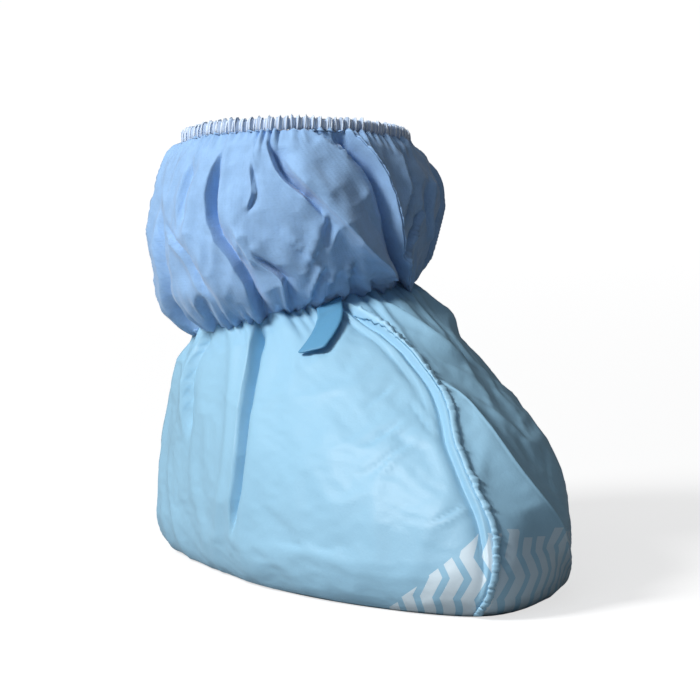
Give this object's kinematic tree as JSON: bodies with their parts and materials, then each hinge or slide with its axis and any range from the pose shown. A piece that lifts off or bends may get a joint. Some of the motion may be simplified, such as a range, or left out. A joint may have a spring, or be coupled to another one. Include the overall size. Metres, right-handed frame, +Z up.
{
  "type": "overshoe with gathered cuff",
  "caption": "Protective overshoe for the right foot: film-coated foot part with a folded sole, gathered at the ankle to a soft elastic-hemmed cuff; hollow and open at the top.",
  "frame": {"origin": "on the underside of the sole, straight below the middle of the ankle", "axes": "+Z up, the toe towards -Y, the big-toe side towards +X"},
  "size_m": [0.1503, 0.2996, 0.2218],
  "materials": {
    "coated_film_fabric": "smooth coated",
    "spunbond_nonwoven": "matte",
    "overlocked_hem": "matte",
    "elastic_band": "matte",
    "tab_tape": "satin"
  },
  "bodies": {
    "root": {"foot_cover": "coated_film_fabric", "front_seam": "coated_film_fabric", "heel_seam": "coated_film_fabric", "side_tab": "tab_tape", "ankle_elastic": "elastic_band", "ankle_cuff": "spunbond_nonwoven", "cuff_seam": "spunbond_nonwoven", "elastic_hem": "overlocked_hem"}
  },
  "joints": []
}
